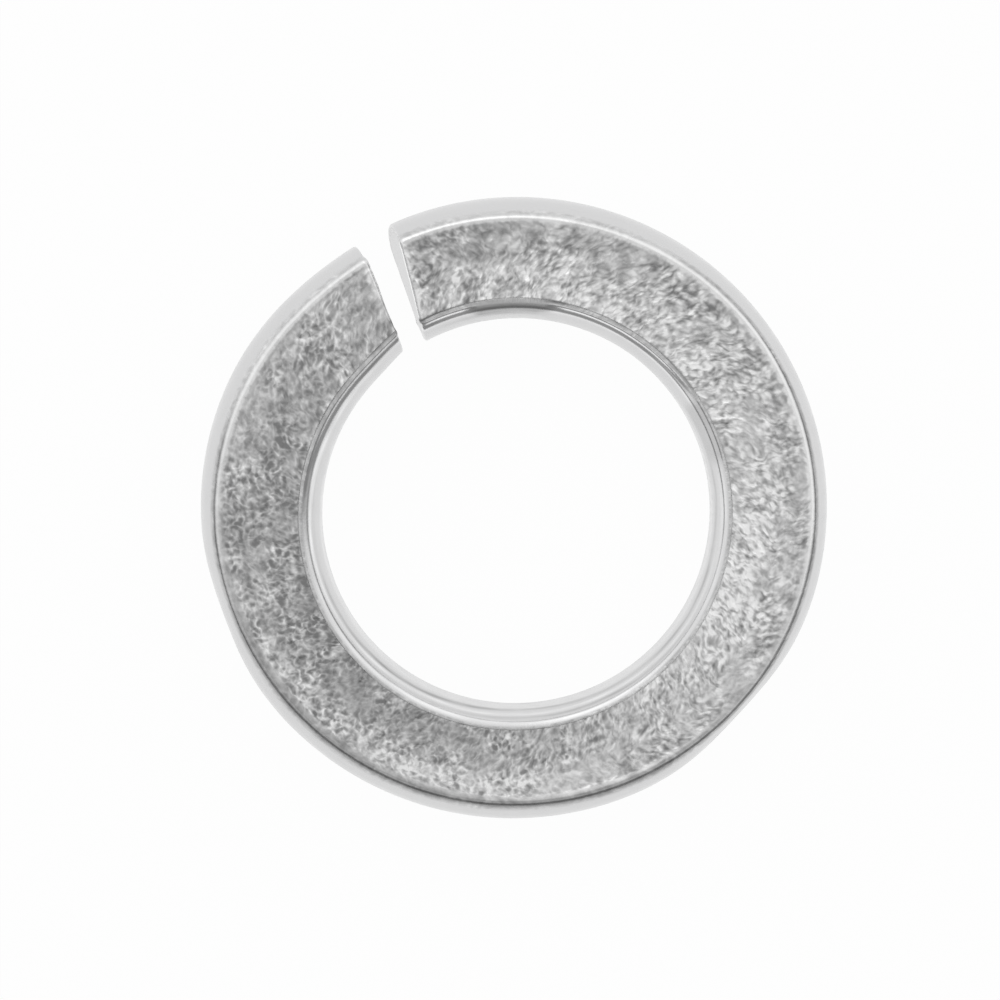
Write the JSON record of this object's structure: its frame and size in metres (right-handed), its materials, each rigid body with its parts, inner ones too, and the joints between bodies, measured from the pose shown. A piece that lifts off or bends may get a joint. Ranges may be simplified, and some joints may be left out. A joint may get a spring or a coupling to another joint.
{
  "type": "spring lock washer",
  "caption": "Split spring lock washer: one turn of flattened wire, slant-cut and sprung apart, that keeps a bolt or nut from working loose.",
  "frame": {"origin": "on the axis of the hole, at the height of the low end's underside", "axes": "+Z along the axis of the hole, up; seen from above with +X to the right, the split lies at the upper left and the coil climbs clockwise from the low end to the raised end"},
  "size_m": [0.0265, 0.0265, 0.007],
  "materials": {
    "zinc_steel": "bright zinc plating, with fine crinkled rolling marks on both seating faces and smooth rounded sides"
  },
  "bodies": {
    "root": {"lock_washer": "zinc_steel"}
  },
  "joints": []
}
